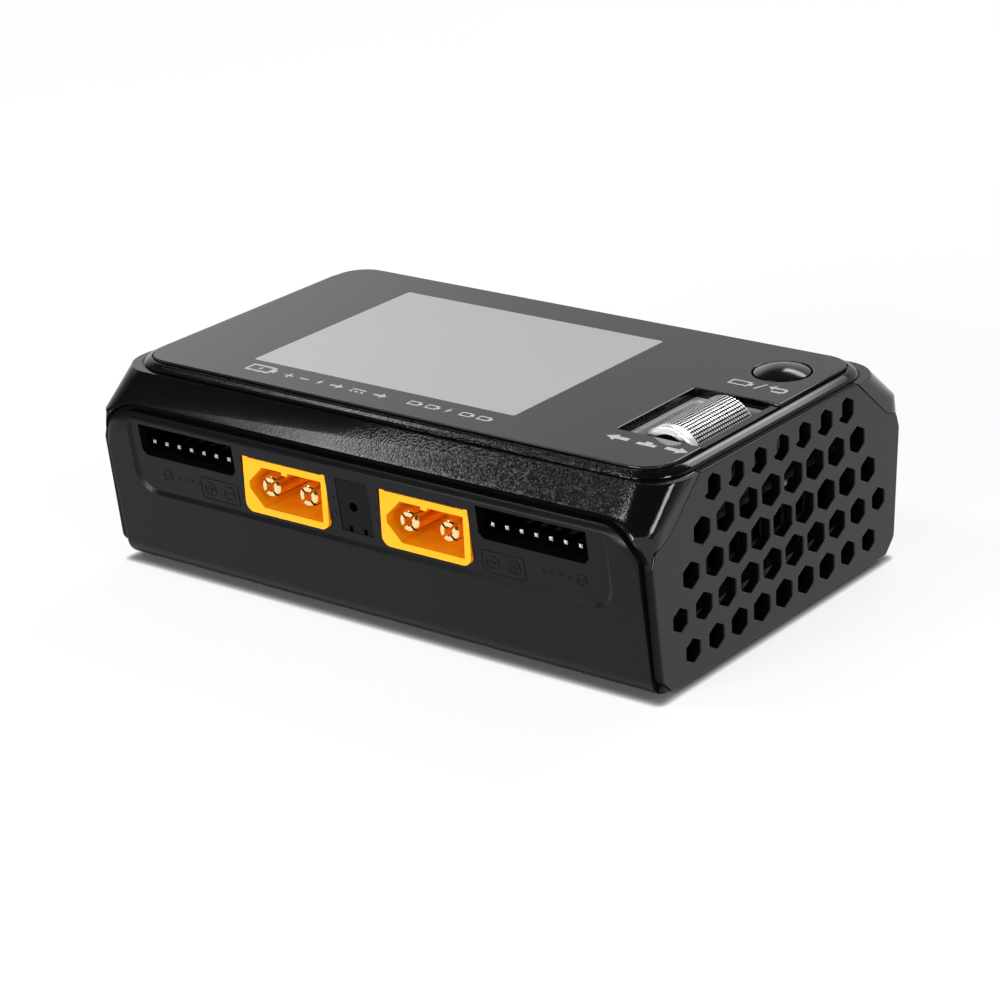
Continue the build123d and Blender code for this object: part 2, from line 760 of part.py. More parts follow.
# ---------------------------------------------------------------- fan
def fan_frame():
    half = fan_size / 2
    x0 = fan_x - fan_depth / 2
    x1 = fan_x + fan_depth / 2
    frame = block(x0, x1, -half, half, fan_z - half, fan_z + half)
    frame = fillet(frame.edges().filter_by(Axis.X), 1.8)
    frame = frame - rod_x(0, fan_z, x0 - 1, x1 + 1, fan_bore)
    # motor plate and its four struts, on the side away from the vents
    frame = frame + rod_x(0, fan_z, x1 - 1.2, x1, hub_radius + 0.4)
    for angle in (45, 135, 225, 315):
        strut = block(x1 - 1.2, x1, hub_radius, fan_bore + 0.4, fan_z - 0.6, fan_z + 0.6)
        frame = frame + Pos(0, 0, fan_z) * Rot(angle, 0, 0) * Pos(0, 0, -fan_z) * strut
    for y in (-1, 1):
        for z in (-1, 1):
            frame = frame - rod_x(y * 10.4, fan_z + z * 10.4, x0 - 1, x1 + 1, 1.2)
    frame = frame - rod_x(0, fan_z, x1 - 3, x1 + 1, 1.6)
    return frame


def fan_bearing():
    x1 = fan_x + fan_depth / 2
    sleeve = rod_x(0, fan_z, x1 - 5.5, x1, 1.6)
    return sleeve - rod_x(0, fan_z, x1 - 7, x1 + 1, 0.8)


def fan_stator():
    """Wound stator on the bearing sleeve, inside the rotor hub."""
    x1 = fan_x + fan_depth / 2
    core = rod_x(0, fan_z, x1 - 5.0, x1 - 1.2, 4.2)
    return core - rod_x(0, fan_z, x1 - 7, x1, 1.6)


def fan_rotor():
    """Cup-shaped hub with seven swept blades."""
    x0 = fan_x - fan_depth / 2 + 0.6
    x1 = fan_x + fan_depth / 2 - 1.6
    hub = rod_x(0, fan_z, x0, x1, hub_radius)
    hub = hub - rod_x(0, fan_z, x0 + 1.0, x1 + 1, 4.7)
    blades = []
    for index in range(blade_count):
        blade = block(-3.0, 3.0, hub_radius - 0.5, blade_radius + 2, -0.45, 0.45)
        blade = Pos((x0 + x1) / 2, 0, 0) * Rot(0, 38, 0) * blade
        blade = blade & rod_x(0, 0, x0, x1, blade_radius)
        blades.append(Pos(0, 0, fan_z) * Rot(360 * index / blade_count, 0, 0) * blade)
    return join([hub] + blades) - rod_x(0, fan_z, x0 - 1, x1, 0.75)


def fan_shaft():
    x0 = fan_x - fan_depth / 2 + 0.6
    return rod_x(0, fan_z, x0, fan_x + fan_depth / 2 - 0.2, 0.75)


def fan_lead():
    """Three short wires from the fan frame to the plug on the board."""
    x1 = fan_x + fan_depth / 2
    wires = []
    for index in range(3):
        y = 9.6 + index * 1.4
        path = FilletPolyline([(x1, y, 17.0), (x1 + 1.3, y, 17.0), (x1 + 1.3, y, 10.6), (x1 + 2.6, y, 10.6)],
                              radius=0.6)
        section = Plane(origin=path @ 0, z_dir=path % 0) * Circle(0.45)
        wires.append(sweep(section, path=path))
    return group(wires)


def fan_plug():
    x = fan_x + fan_depth / 2 + 2.6
    top = main_board_z + main_board_thickness
    return block(x, x + 2.8, 8.6, 13.4, top, top + 4.6)


# ---------------------------------------------------------------- fasteners and feet
def case_screws():
    screws = []
    for x, y in case_posts:
        head = rod_z(x, y, foot_height + 0.1, foot_height + 1.1, 2.4)
        head = head - (Pos(x, y, foot_height + 0.1) * Box(2.6, 0.6, 1.0))
        head = head - (Pos(x, y, foot_height + 0.1) * Box(0.6, 2.6, 1.0))
        screws.append(head + rod_z(x, y, foot_height + 1.1, 12.5, 1.2))
    return group(screws)


def board_screws():
    top = main_board_z + main_board_thickness
    screws = []
    for x, y in board_posts:
        head = rod_z(x, y, top, top + 1.4, 2.1)
        head = head - (Pos(x, y, top + 1.4) * Box(2.4, 0.5, 1.2))
        head = head - (Pos(x, y, top + 1.4) * Box(0.5, 2.4, 1.2))
        screws.append(head + rod_z(x, y, foot_height + 1.0, top, 1.2))
    return group(screws)


def ui_screws():
    screws = []
    for x, y in ui_posts:
        head = rod_z(x, y, ui_board_z - 1.2, ui_board_z, 1.6)
        screws.append(head + rod_z(x, y, ui_board_z, ui_board_z + 4.5, 0.8))
    return group(screws)


def fan_screws():
    """Two long screws hold the fan to the side frame."""
    x0 = fan_x - fan_depth / 2
    x1 = fan_x + fan_depth / 2
    screws = []
    for y, z in ((-10.4, 10.4), (10.4, -10.4)):
        head = rod_x(y, fan_z + z, x1, x1 + 1.2, 2.0)
        screws.append(head + rod_x(y, fan_z + z, x0 + 0.2, x1, 1.2))
    return group(screws)


def rubber_feet():
    feet = []
    for x, y in foot_places:
        pad = rod_z(x, y, 0, foot_height + 0.5, foot_radius)
        feet.append(fillet(pad.edges().sort_by(Axis.Z)[0], 0.4))
    return group(feet)


def build():
    os.makedirs("parts", exist_ok=True)
    bx, by = button_centre
    left_x = port_centre - output_spacing
    right_x = port_centre + output_spacing
    roller_plunger_low = switch_floor + roller_travel + switch_spare
    exit_plunger_low = switch_floor + button_travel + switch_spare
    pieces = {
        "lower_shell": lower_shell(),
        "upper_housing": upper_housing(),
        "side_grille_right": side_grille(1),
        "side_grille_left": side_grille(-1),
        "top_cover": top_cover(),
        "lens_window": lens_window(),
        "lcd_glass": lcd_glass(),
        "lcd_frame": lcd_frame(),
        "roller_well": roller_well(),
        "roller_wheel": roller_wheel(),
        "roller_axle": roller_axle(),
        "roller_carrier": roller_carrier(),
        "roller_encoder": roller_encoder(),
        "roller_guide": roller_guide(),
        "roller_switch": switch_base(roller_x, switch_y, 1.9),
        "roller_plunger": rod_z(roller_x, switch_y, roller_plunger_low, cradle_z, 1.6),
        "exit_button": exit_button(),
        "exit_switch": switch_base(bx, by, 1.6),
        "exit_plunger": rod_z(bx, by, exit_plunger_low, 23.0, 1.3),
        "output_socket_left": power_socket(left_x, socket_face, -1),
        "output_socket_right": power_socket(right_x, socket_face, -1),
        "output_pins_left": power_pins(left_x, socket_face, -1),
        "output_pins_right": power_pins(right_x, socket_face, -1),
        "balance_socket_left": balance_socket(port_centre - balance_spacing),
        "balance_socket_right": balance_socket(port_centre + balance_spacing),
        "balance_pins_left": balance_pin_row(port_centre - balance_spacing),
        "balance_pins_right": balance_pin_row(port_centre + balance_spacing),
        "signal_port": signal_port(),
        "input_socket": power_socket(input_x, socket_face, 1),
        "input_pins": power_pins(input_x, socket_face, 1),
        "usb_socket": usb_socket(),
        "usb_tongue": usb_tongue(),
        "main_board": main_board(),
        "ui_board": ui_board(),
        "heatsink": heatsink(),
        "transistors": transistors(),
        "inductors": inductors(),
        "capacitors": capacitors(),
        "control_chip": control_chip(),
        "shunts": shunts(),
        "buzzer": buzzer(),
        "display_ribbon": display_ribbon(),
        "fan_frame": fan_frame(),
        "fan_rotor": fan_rotor(),
        "fan_shaft": fan_shaft(),
        "fan_bearing": fan_bearing(),
        "fan_stator": fan_stator(),
        "fan_screws": fan_screws(),
        "fan_lead": fan_lead(),
        "fan_plug": fan_plug(),
        "case_screws": case_screws(),
        "board_screws": board_screws(),
        "ui_screws": ui_screws(),
        "rubber_feet": rubber_feet(),
    }
    for name, shape in pieces.items():
        save(name, shape)


build()
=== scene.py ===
import json
import math

import bmesh
import bpy
from mathutils import Matrix, Vector


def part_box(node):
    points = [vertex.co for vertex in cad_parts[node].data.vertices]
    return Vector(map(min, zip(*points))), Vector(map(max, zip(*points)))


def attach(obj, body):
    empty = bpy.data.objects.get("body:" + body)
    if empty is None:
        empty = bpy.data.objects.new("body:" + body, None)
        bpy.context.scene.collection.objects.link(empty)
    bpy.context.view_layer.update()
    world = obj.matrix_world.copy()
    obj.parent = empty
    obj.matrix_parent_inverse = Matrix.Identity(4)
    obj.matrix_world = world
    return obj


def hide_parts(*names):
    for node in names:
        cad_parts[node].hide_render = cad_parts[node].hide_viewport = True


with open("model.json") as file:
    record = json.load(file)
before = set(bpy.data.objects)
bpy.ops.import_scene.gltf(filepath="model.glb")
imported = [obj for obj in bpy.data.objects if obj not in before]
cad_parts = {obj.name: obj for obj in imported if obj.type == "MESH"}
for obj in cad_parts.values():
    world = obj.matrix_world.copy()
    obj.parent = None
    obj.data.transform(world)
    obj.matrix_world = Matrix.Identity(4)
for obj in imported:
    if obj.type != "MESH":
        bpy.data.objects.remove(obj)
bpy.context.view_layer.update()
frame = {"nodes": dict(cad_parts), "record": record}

scene = bpy.context.scene
nodes = frame["nodes"]
MM = 0.001

# ---------------------------------------------------------------- view
camera_azimuth = 38.89        # degrees round from the front
camera_height = 21.72         # degrees above level
camera_roll = -3.15
camera_distance = 437.0       # mm from the target
camera_target = (13.19, -16.36, 17.8)
camera_lens = 110.0           # mm, on a 36 mm sensor

# ---------------------------------------------------------------- places, in mm
lens_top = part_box("lens_window")[1].z / MM
lens_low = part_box("lens_window")[0].z / MM
lens_half_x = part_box("lens_window")[1].x / MM
lens_half_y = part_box("lens_window")[1].y / MM
lens_corner = 4.8
notch = (33.3, 46.35, -14.8, 4.4)         # window round the roller: x from, to, y from, to
screen = (-31.2, 17.8, -17.9, 18.7)       # lit area of the display
button_x, button_y = ((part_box("exit_button")[0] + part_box("exit_button")[1]) / 2 / MM).xy
button_radius = 4.15
roller_low, roller_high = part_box("roller_wheel")
roller_centre = (roller_low + roller_high) / 2 / MM
roller_radius = (roller_high.z - roller_low.z) / 2 / MM

# the roller's knurl
knurl_around = 52            # pads round the roller
knurl_along = 25             # rows of pads
knurl_angle = 2 * math.pi / knurl_around
knurl_depth = 0.30
knurl_gap = 0.40             # part of the pitch taken by the grooves
plain_band = 1.5             # length of the smooth front end

# where the pebble grain runs, in metres along an axis
grain_end = (0.0435, 0.0465)      # it fades to nothing between these distances from the middle
grain_foot = (0.0262, 0.0275)     # and between these heights
grain_rise = (-0.006, 0.060)      # it grows from left to right between these places


# ---------------------------------------------------------------- mesh helpers
def add_mesh(name, vertices, faces, material, smooth_angle=35):
    """A mesh object in millimetres, with soft shading below the angle."""
    mesh = bpy.data.meshes.new(name)
    mesh.from_pydata([Vector(v) * MM for v in vertices], [], faces)
    mesh.validate()
    piece = bpy.data.objects.new(name, mesh)
    scene.collection.objects.link(piece)
    mesh.materials.append(material)
    bm = bmesh.new()
    bm.from_mesh(mesh)
    bmesh.ops.recalc_face_normals(bm, faces=bm.faces)
    for face in bm.faces:
        face.smooth = True
    sharpen_edges(bm, smooth_angle)
    bm.to_mesh(mesh)
    bm.free()
    return piece


def shift_loop(loop, distance):
    """Move a closed outline into its own left-hand side by a distance."""
    moved = []
    count = len(loop)
    for index, point in enumerate(loop):
        before = Vector(loop[index - 1])
        here = Vector(point)
        after = Vector(loop[(index + 1) % count])
        first = (here - before).normalized()
        second = (after - here).normalized()
        normal_1 = Vector((-first.y, first.x))
        normal_2 = Vector((-second.y, second.x))
        mid = normal_1 + normal_2
        mid = mid / max(mid.length_squared / 2, 0.3)
        moved.append(here + mid * distance)
    return moved


def rounded_corners(points, radii, steps=5):
    """A closed outline with each corner replaced by an arc; radii is one value or one for each corner."""
    count = len(points)
    if not isinstance(radii, (list, tuple)):
        radii = [radii] * count
    outline = []
    for index in range(count):
        before = Vector(points[index - 1])
        here = Vector(points[index])
        after = Vector(points[(index + 1) % count])
        radius = radii[index]
        if radius <= 0:
            outline.append(here)
            continue
        to_before = (before - here).normalized()
        to_after = (after - here).normalized()
        half = to_before.angle(to_after) / 2
        reach = radius / math.tan(half)
        limit = 0.49 * min((before - here).length, (after - here).length)
        if reach > limit:
            reach = limit
            radius = reach * math.tan(half)
        centre = here + (to_before + to_after).normalized() * (radius / math.sin(half))
        start = here + to_before * reach - centre
        end = here + to_after * reach - centre
        turn = start.angle_signed(end)
        for step in range(steps + 1):
            angle = -turn * step / steps
            outline.append(centre + Matrix.Rotation(angle, 2) @ start)
    return outline


def rectangle(x0, x1, y0, y1):
    return [(x0, y0), (x1, y0), (x1, y1), (x0, y1)]


def circle(x, y, radius, count):
    angles = [2 * math.pi * k / count for k in range(count)]
    return [(x + radius * math.cos(angle), y + radius * math.sin(angle)) for angle in angles]


def fill_loops(bm, rings, material_index):
    """Fill the area between closed rings of bmesh vertices with flat faces."""
    edges = []
    for ring in rings:
        for index, vertex in enumerate(ring):
            other = ring[(index + 1) % len(ring)]
            edge = bm.edges.get((vertex, other)) or bm.edges.new((vertex, other))
            edges.append(edge)
    made = bmesh.ops.triangle_fill(bm, use_beauty=True, use_dissolve=False, edges=edges)
    flat = [item for item in made["geom"] if isinstance(item, bmesh.types.BMFace)]
    for face in flat:
        face.material_index = material_index
    return flat


def plate_levels(low, high, bevel, steps):
    """Inset and height of each ring of a plate's wall, from the rounded top edge down to the back."""
    levels = []
    for step in range(steps + 1):
        angle = math.pi / 2 * step / steps
        levels.append((bevel * (1 - math.sin(angle)), high - bevel * (1 - math.cos(angle))))
    return levels + [(0.0, low + bevel), (bevel, low)]


def sharpen_edges(bm, angle):
    """Mark the edges that bend by more than an angle, in degrees, as sharp."""
    for edge in bm.edges:
        if len(edge.link_faces) == 2 and edge.calc_face_angle(0) > math.radians(angle):
            edge.smooth = False


def plate(name, outside, holes, low, high, bevel, materials, to_world=None, windows=(), wall_index=0):
    """A flat plate with rounded edges. outside and holes are outlines that run anticlockwise;
    windows are outlines in the top face that take the second material; the straight walls and the
    back take the material at wall_index."""
    bm = bmesh.new()
    loops = [list(outside)] + [list(reversed(hole)) for hole in holes]
    steps = 4
    levels = plate_levels(low, high, bevel, steps)
    rings = []
    flat = []
    for number, loop in enumerate(loops):
        stack = []
        for inset, level in levels:
            stack.append([bm.verts.new((p[0], p[1], level)) for p in shift_loop(loop, inset)])
        for depth, (upper, lower) in enumerate(zip(stack, stack[1:])):
            count = len(upper)
            for index in range(count):
                following = (index + 1) % count
                face = bm.faces.new((upper[index], upper[following], lower[following], lower[index]))
                if depth >= steps:
                    face.material_index = wall_index
        rings.append(stack)
    window_rings = [[bm.verts.new((p[0], p[1], high)) for p in window] for window in windows]
    flat += fill_loops(bm, [stack[0] for stack in rings] + window_rings, 0)
    for ring in window_rings:
        flat += fill_loops(bm, [ring], 1)
    flat += fill_loops(bm, [stack[-1] for stack in rings], wall_index)
    if to_world:
        for vertex in bm.verts:
            vertex.co = to_world @ vertex.co
    for vertex in bm.verts:
        vertex.co *= MM
    bmesh.ops.recalc_face_normals(bm, faces=bm.faces)
    for face in bm.faces:
        face.smooth = True
    for face in flat:
        face.smooth = False
    sharpen_edges(bm, 32)
    mesh = bpy.data.meshes.new(name)
    bm.to_mesh(mesh)
    bm.free()
    for material in materials:
        mesh.materials.append(material)
    piece = bpy.data.objects.new(name, mesh)
    scene.collection.objects.link(piece)
    return piece


def soften(node, width):
    """Round the edges of a CAD node by a width in millimetres, without changing its mesh."""
    piece = nodes[node]
    weld = piece.modifiers.new("weld", "WELD")
    weld.merge_threshold = 0.000002
    bevel = piece.modifiers.new("bevel", "BEVEL")
    bevel.width = width * MM
    bevel.segments = 2
    bevel.limit_method = "ANGLE"
    bevel.angle_limit = math.radians(32)
    bevel.harden_normals = True
    bevel.use_clamp_overlap = True


# ---------------------------------------------------------------- materials
class Surface:
    """A new material with a Principled shader, and the steps that its textures are built from."""

    def __init__(self, name):
        self.material = bpy.data.materials.new(name)
        self.material.use_nodes = True
        self.tree = self.material.node_tree
        self.principled = self.tree.nodes["Principled BSDF"]
        self.place = self.node("ShaderNodeTexCoord").outputs["Object"]

    def node(self, kind, **settings):
        """A shader node; each setting is an input's value, or else a property of the node."""
        made = self.tree.nodes.new(kind)
        for key, value in settings.items():
            label = key.replace("_", " ")
            if label in made.inputs:
                made.inputs[label].default_value = value
            else:
                setattr(made, key, value)
        return made

    def join(self, output, socket):
        self.tree.links.new(output, socket)

    def set(self, label, value):
        """Set one input of the Principled shader to a constant."""
        self.principled.inputs[label].default_value = value

    def drive(self, label, output):
        """Link one input of the Principled shader."""
        self.join(output, self.principled.inputs[label])

    def noise(self, scale, detail, roughness=0.5, place=None):
        made = self.node("ShaderNodeTexNoise", Scale=scale, Detail=detail, Roughness=roughness)
        self.join(place or self.place, made.inputs["Vector"])
        return made.outputs["Fac"]

    def span(self, value, low, high, start=0.0, end=1.0):
        """Map a value from the span start to end onto low to high."""
        made = self.node("ShaderNodeMapRange", From_Min=start, From_Max=end, To_Min=low, To_Max=high)
        self.join(value, made.inputs["Value"])
        return made.outputs["Result"]

    def maths(self, operation, first, second=None):
        """One or two values through a maths step; a plain number may be the second."""
        made = self.node("ShaderNodeMath", operation=operation)
        self.join(first, made.inputs[0])
        if isinstance(second, float):
            made.inputs[1].default_value = second
        elif second:
            self.join(second, made.inputs[1])
        return made.outputs[0]

    def axes(self):
        """The X, Y and Z of the place on the object, in metres."""
        made = self.node("ShaderNodeSeparateXYZ")
        self.join(self.place, made.inputs["Vector"])
        return made.outputs

    def tint(self, colour, factor):
        """Use a colour scaled by a value."""
        made = self.node("ShaderNodeVectorMath", operation="SCALE")
        made.inputs[0].default_value = colour
        self.join(factor, made.inputs["Scale"])
        self.drive("Base Color", made.outputs["Vector"])

    def emboss(self, height, distance, strength=None):
        """Use a bump whose full height is a distance in millimetres; returns the bump node."""
        made = self.node("ShaderNodeBump", Distance=distance * MM)
        if strength is not None:
            made.inputs["Strength"].default_value = strength
        self.join(height, made.inputs["Height"])
        self.drive("Normal", made.outputs["Normal"])
        return made


def moulded(name, colour, roughness, specular=0.5, grain=0.004, grain_size=0.25, tone=0.12):
    """Moulded plastic: slight tone variation, uneven gloss and fine grain, in millimetres."""
    surface = Surface(name)
    cloud = surface.noise(45.0, 5.0, 0.6)
    fine = surface.noise(1.0 / (grain_size * MM), 3.0, 0.7)
    surface.tint(colour, surface.span(cloud, 1.0 - tone, 1.0 + tone))
    surface.drive("Roughness", surface.span(cloud, roughness * 0.8, min(1.0, roughness * 1.2)))
    surface.set("Specular IOR Level", specular)
    surface.emboss(fine, grain, strength=1.0)
    return surface.material


def metal(name, colour, roughness, scratch=0.01, brushed=(1, 1, 1)):
    """Metal with a fine brushed or smeared surface."""
    surface = Surface(name)
    stretch = surface.node("ShaderNodeMapping", Scale=brushed)
    surface.join(surface.place, stretch.inputs["Vector"])
    noise = surface.noise(2500.0, 4.0, 0.65, place=stretch.outputs["Vector"])
    blotch = surface.noise(300.0, 3.0)
    surface.tint(colour, surface.span(blotch, 0.85, 1.08))
    surface.set("Metallic", 1.0)
    surface.drive("Roughness", surface.span(noise, roughness * 0.7, roughness * 1.4))
    surface.emboss(noise, scratch, strength=0.6)
    return surface.material


def pebbled(name, colour):
    """Black plastic with pebble grain on the sloping bands. The grain grows from left to right, and
    fades to polish at the corners and below."""
    surface = Surface(name)
    cell = surface.node("ShaderNodeTexVoronoi", feature="SMOOTH_F1", Scale=3300.0, Smoothness=0.3)
    surface.join(surface.place, cell.inputs["Vector"])
    cloud = surface.noise(3000.0, 2.0)
    height = surface.maths("ADD", cell.outputs["Distance"], cloud)
    axes = surface.axes()
    along = surface.span(surface.maths("ABSOLUTE", axes["X"]), 1.0, 0.0, *grain_end)
    above = surface.span(axes["Z"], 0.0, 1.0, *grain_foot)
    mask = surface.maths("MULTIPLY", along, above)
    rise = surface.span(axes["X"], 0.05, 1.0, *grain_rise)
    strength = surface.maths("MULTIPLY", mask, rise)
    bump = surface.emboss(height, 0.13)
    surface.join(strength, bump.inputs["Strength"])
    surface.drive("Roughness", surface.span(strength, 0.11, 0.20))
    surface.tint(colour, surface.span(cloud, 0.7, 1.3))
    surface.set("Specular IOR Level", 0.36)
    return surface.material


def display(name, colour, roughness, tint_step):
    """Glossy window: even dark or grey base under a clear hard face, with faint smears."""
    surface = Surface(name)
    smear = surface.noise(38.0, 6.0, 0.55)
    surface.tint(colour, surface.span(smear, 1.0 - tint_step, 1.0 + tint_step))
    surface.drive("Roughness", surface.span(smear, roughness * 0.7, roughness * 1.3))
    surface.set("IOR", 1.49)
    return surface.material


def board(name, colour):
    """Circuit board: solder mask over a web of tracks, with bright pads."""
    surface = Surface(name)
    tracks = surface.node("ShaderNodeTexBrick", Scale=420.0, Mortar_Size=0.09, offset=0.35)
    for label, scales in (("Color1", (1, 1, 1)), ("Color2", (0.8, 0.8, 0.8)), ("Mortar", (1.8, 1.8, 1.5))):
        tracks.inputs[label].default_value = (*[part * scale for part, scale in zip(colour, scales)], 1)
    surface.join(surface.place, tracks.inputs["Vector"])
    pads = surface.node("ShaderNodeTexVoronoi", Scale=520.0)
    surface.join(surface.place, pads.inputs["Vector"])
    spot = surface.span(pads.outputs["Distance"], 1.0, 0.0, 0.16, 0.2)
    mix = surface.node("ShaderNodeMix", data_type="RGBA")
    factor, under, over = mix.inputs[0], mix.inputs[6], mix.inputs[7]
    over.default_value = (0.10, 0.09, 0.07, 1)
    surface.join(spot, factor)
    surface.join(tracks.outputs["Color"], under)
    surface.drive("Base Color", mix.outputs[2])
    surface.drive("Roughness", surface.span(spot, 0.35, 0.22))
    surface.emboss(tracks.outputs["Fac"], 0.03, strength=0.4)
    return surface.material


def pins_with_painted_shade(name, colour, painted_shade_until):
    """Plated pins with painted shade: their colour is darkened almost to black except near their tips,
    beyond a distance from the middle, for the shade inside the sockets.
    """
    surface = Surface(name)
    reach = surface.maths("ABSOLUTE", surface.axes()["Y"])
    # painted shade: the colour falls to near black away from the tips, where the sockets shade the pins
    tip = surface.span(reach, 0.02, 1.0, painted_shade_until * MM, (painted_shade_until + 0.3) * MM)
    cloud = surface.noise(900.0, 3.0)
    surface.tint(colour, surface.maths("MULTIPLY", tip, surface.span(cloud, 0.7, 1.1)))
    surface.set("Metallic", 1.0)
    surface.drive("Roughness", surface.span(cloud, 0.2, 0.4))
    return surface.material


satin_black = moulded("satin_black", (0.0036, 0.0040, 0.0048), 0.30, specular=0.14, grain=0.006,
                      grain_size=0.22)
panel_black = moulded("panel_black", (0.0055, 0.0056, 0.0062), 0.26, specular=0.27, grain=0.005,
                      grain_size=0.2)
vent_dark = moulded("vent_dark", (0.0035, 0.0035, 0.0036), 0.55, specular=0.10, grain=0.01)
pebble_black = pebbled("pebble_black", (0.0036, 0.0038, 0.0046))
gloss_black = moulded("gloss_black", (0.004, 0.004, 0.0042), 0.15, specular=0.5, grain=0.002, tone=0.2)
socket_black = moulded("socket_black", (0.003, 0.003, 0.003), 0.5, specular=0.08, grain=0.01)
ledge_white = moulded("ledge_white", (0.88, 0.88, 0.90), 0.40, grain=0.004)
dark_moulding = moulded("dark_moulding", (0.010, 0.010, 0.011), 0.5, specular=0.2, grain=0.01)
yellow_nylon = moulded("yellow_nylon", (1.0, 0.38, 0.003), 0.36, specular=0.25, grain=0.006, tone=0.04)
white_nylon = moulded("white_nylon", (0.30, 0.29, 0.26), 0.45, grain=0.006, tone=0.05)
rubber = moulded("soft_rubber", (0.010, 0.010, 0.0105), 0.75, specular=0.3, grain=0.02, grain_size=0.3)
chip_epoxy = moulded("chip_epoxy", (0.008, 0.008, 0.0085), 0.5, specular=0.2, grain=0.015, grain_size=0.12)
ferrite = moulded("ferrite", (0.012, 0.012, 0.013), 0.6, specular=0.2, grain=0.03, grain_size=0.2)
film = moulded("polyimide_film", (0.25, 0.11, 0.02), 0.3, grain=0.003)
wire_red = moulded("wire_cover", (0.15, 0.012, 0.01), 0.45, grain=0.004)
amber = moulded("amber_plunger", (0.25, 0.15, 0.05), 0.4, grain=0.004)
ink = moulded("printed_ink", (0.80, 0.82, 0.80), 0.55, specular=0.3, grain=0.004, tone=0.08)
bright_metal = metal("bright_metal", (1.0, 1.0, 1.0), 0.38, scratch=0.004)
# painted shade: the knurl's groove walls take this near-black metal in place of the shade that falls in the
# grooves
groove_painted_shade = metal("groove_painted_shade", (0.05, 0.05, 0.052), 0.5, scratch=0.004)
gold = metal("gold_plate", (1.0, 0.74, 0.36), 0.16, scratch=0.006)
pin_metal_painted_shade = pins_with_painted_shade("pin_metal_painted_shade", (0.62, 0.56, 0.46), 31.1)
steel = metal("steel", (0.45, 0.44, 0.43), 0.28, scratch=0.01, brushed=(1, 8, 1))
dark_steel = metal("dark_steel", (0.10, 0.10, 0.10), 0.35, scratch=0.01)
aluminium = metal("black_anodised", (0.020, 0.020, 0.021), 0.45, scratch=0.01, brushed=(0.1, 1, 1))
can_metal = metal("drawn_can", (0.10, 0.10, 0.11), 0.35, scratch=0.006)
bronze = metal("bronze", (0.30, 0.20, 0.10), 0.4, scratch=0.02)
copper = metal("winding", (0.40, 0.19, 0.10), 0.4, scratch=0.05, brushed=(1, 1, 12))
lens_black = display("lens_border", (0.0030, 0.0042, 0.0036), 0.05, 0.3)
lens_clear = display("lens_over_display", (0.66, 0.69, 0.66), 0.10, 0.03)
board_black = board("board_black", (0.004, 0.006, 0.005))

slot_materials = {
    "case_satin": satin_black, "grille_satin": panel_black, "cover_gloss": pebble_black, "lens": lens_black,
    "screen_glass": lens_clear, "pan_steel": steel, "grey_plastic": ledge_white,
    "roller_metal": bright_metal, "steel": steel, "switch_plastic": socket_black,
    "switch_plunger": amber, "button_gloss": gloss_black, "socket_yellow": yellow_nylon, "gold": gold,
    "socket_black": socket_black, "tin": pin_metal_painted_shade, "shell_steel": steel, "board_black": board_black,
    "heatsink_aluminium": aluminium, "chip_black": chip_epoxy, "ferrite": ferrite,
    "can_aluminium": can_metal, "ribbon": film, "fan_plastic": socket_black, "bronze": bronze,
    "copper": copper, "wire": wire_red, "plug_white": white_nylon, "screw_black": dark_steel,
    "rubber": rubber,
}


def dress_cad_nodes():
    """Give every CAD node the material of its slot."""
    for entry in frame["record"]["subparts"]:
        mesh = nodes[entry["node"]].data
        mesh.materials.clear()
        mesh.materials.append(slot_materials[entry["material_slot"]])
    nodes["upper_housing"].data.materials[0] = pebble_black
    for name in ("roller_carrier", "roller_encoder", "roller_guide"):
        nodes[name].data.materials[0] = dark_moulding


# ---------------------------------------------------------------- top: lens, marks, key, roller
def make_lens():
    x0, x1, y0, y1 = notch
    right = lens_half_x
    half_y = lens_half_y
    corners = [(-right, -half_y), (right, -half_y), (right, y0), (x0, y0), (x0, y1), (right, y1),
               (right, half_y), (-right, half_y)]
    radii = [lens_corner, lens_corner, 0.25, 0.3, 0.3, 0.25, lens_corner, lens_corner]
    outside = rounded_corners(corners, radii, steps=8)
    hole = circle(button_x, button_y, button_radius + 0.3, 64)
    window = rounded_corners(rectangle(*screen), 0.4, steps=3)
    lens = plate("lens", outside, [hole], lens_low, lens_top, 0.14, [lens_black, lens_clear],
                 windows=[window])
    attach(lens, "case")
    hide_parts("lens_window")


def roller_point(vertices, y, angle, radius):
    """Add a vertex at a place round the roller's axis; returns its index."""
    vertices.append((roller_centre.x + radius * math.sin(angle), y,
                     roller_centre.z + radius * math.cos(angle)))
    return len(vertices) - 1


def roller_ring(vertices, y, radius):
    """Add a full ring of vertices; returns their indices."""
    return [roller_point(vertices, y, i * knurl_angle, radius) for i in range(knurl_around)]


def knurl_pads(vertices, grid, start, pitch):
    """Square pads standing on the groove floor: returns their tops and their side walls."""
    tops = []
    walls = []
    for j in range(knurl_along):
        for i in range(knurl_around):
            k = (i + 1) % knurl_around
            floor = (grid[j][i], grid[j][k], grid[j + 1][k], grid[j + 1][i])
            y0 = start + (j + knurl_gap / 2) * pitch
            y1 = start + (j + 1 - knurl_gap / 2) * pitch
            a0 = (i + knurl_gap / 2) * knurl_angle
            a1 = (i + 1 - knurl_gap / 2) * knurl_angle
            top = [roller_point(vertices, y, angle, roller_radius)
                   for y, angle in ((y0, a0), (y0, a1), (y1, a1), (y1, a0))]
            tops.append(top)
            for s in range(4):
                t = (s + 1) % 4
                walls.append((floor[s], floor[t], top[t], top[s]))
    return tops, walls


def join_rings(rings):
    """Faces between each ring of vertices and the next."""
    faces = []
    for first, second in zip(rings, rings[1:]):
        for i in range(knurl_around):
            k = (i + 1) % knurl_around
            faces.append((first[i], first[k], second[k], second[i]))
    return faces


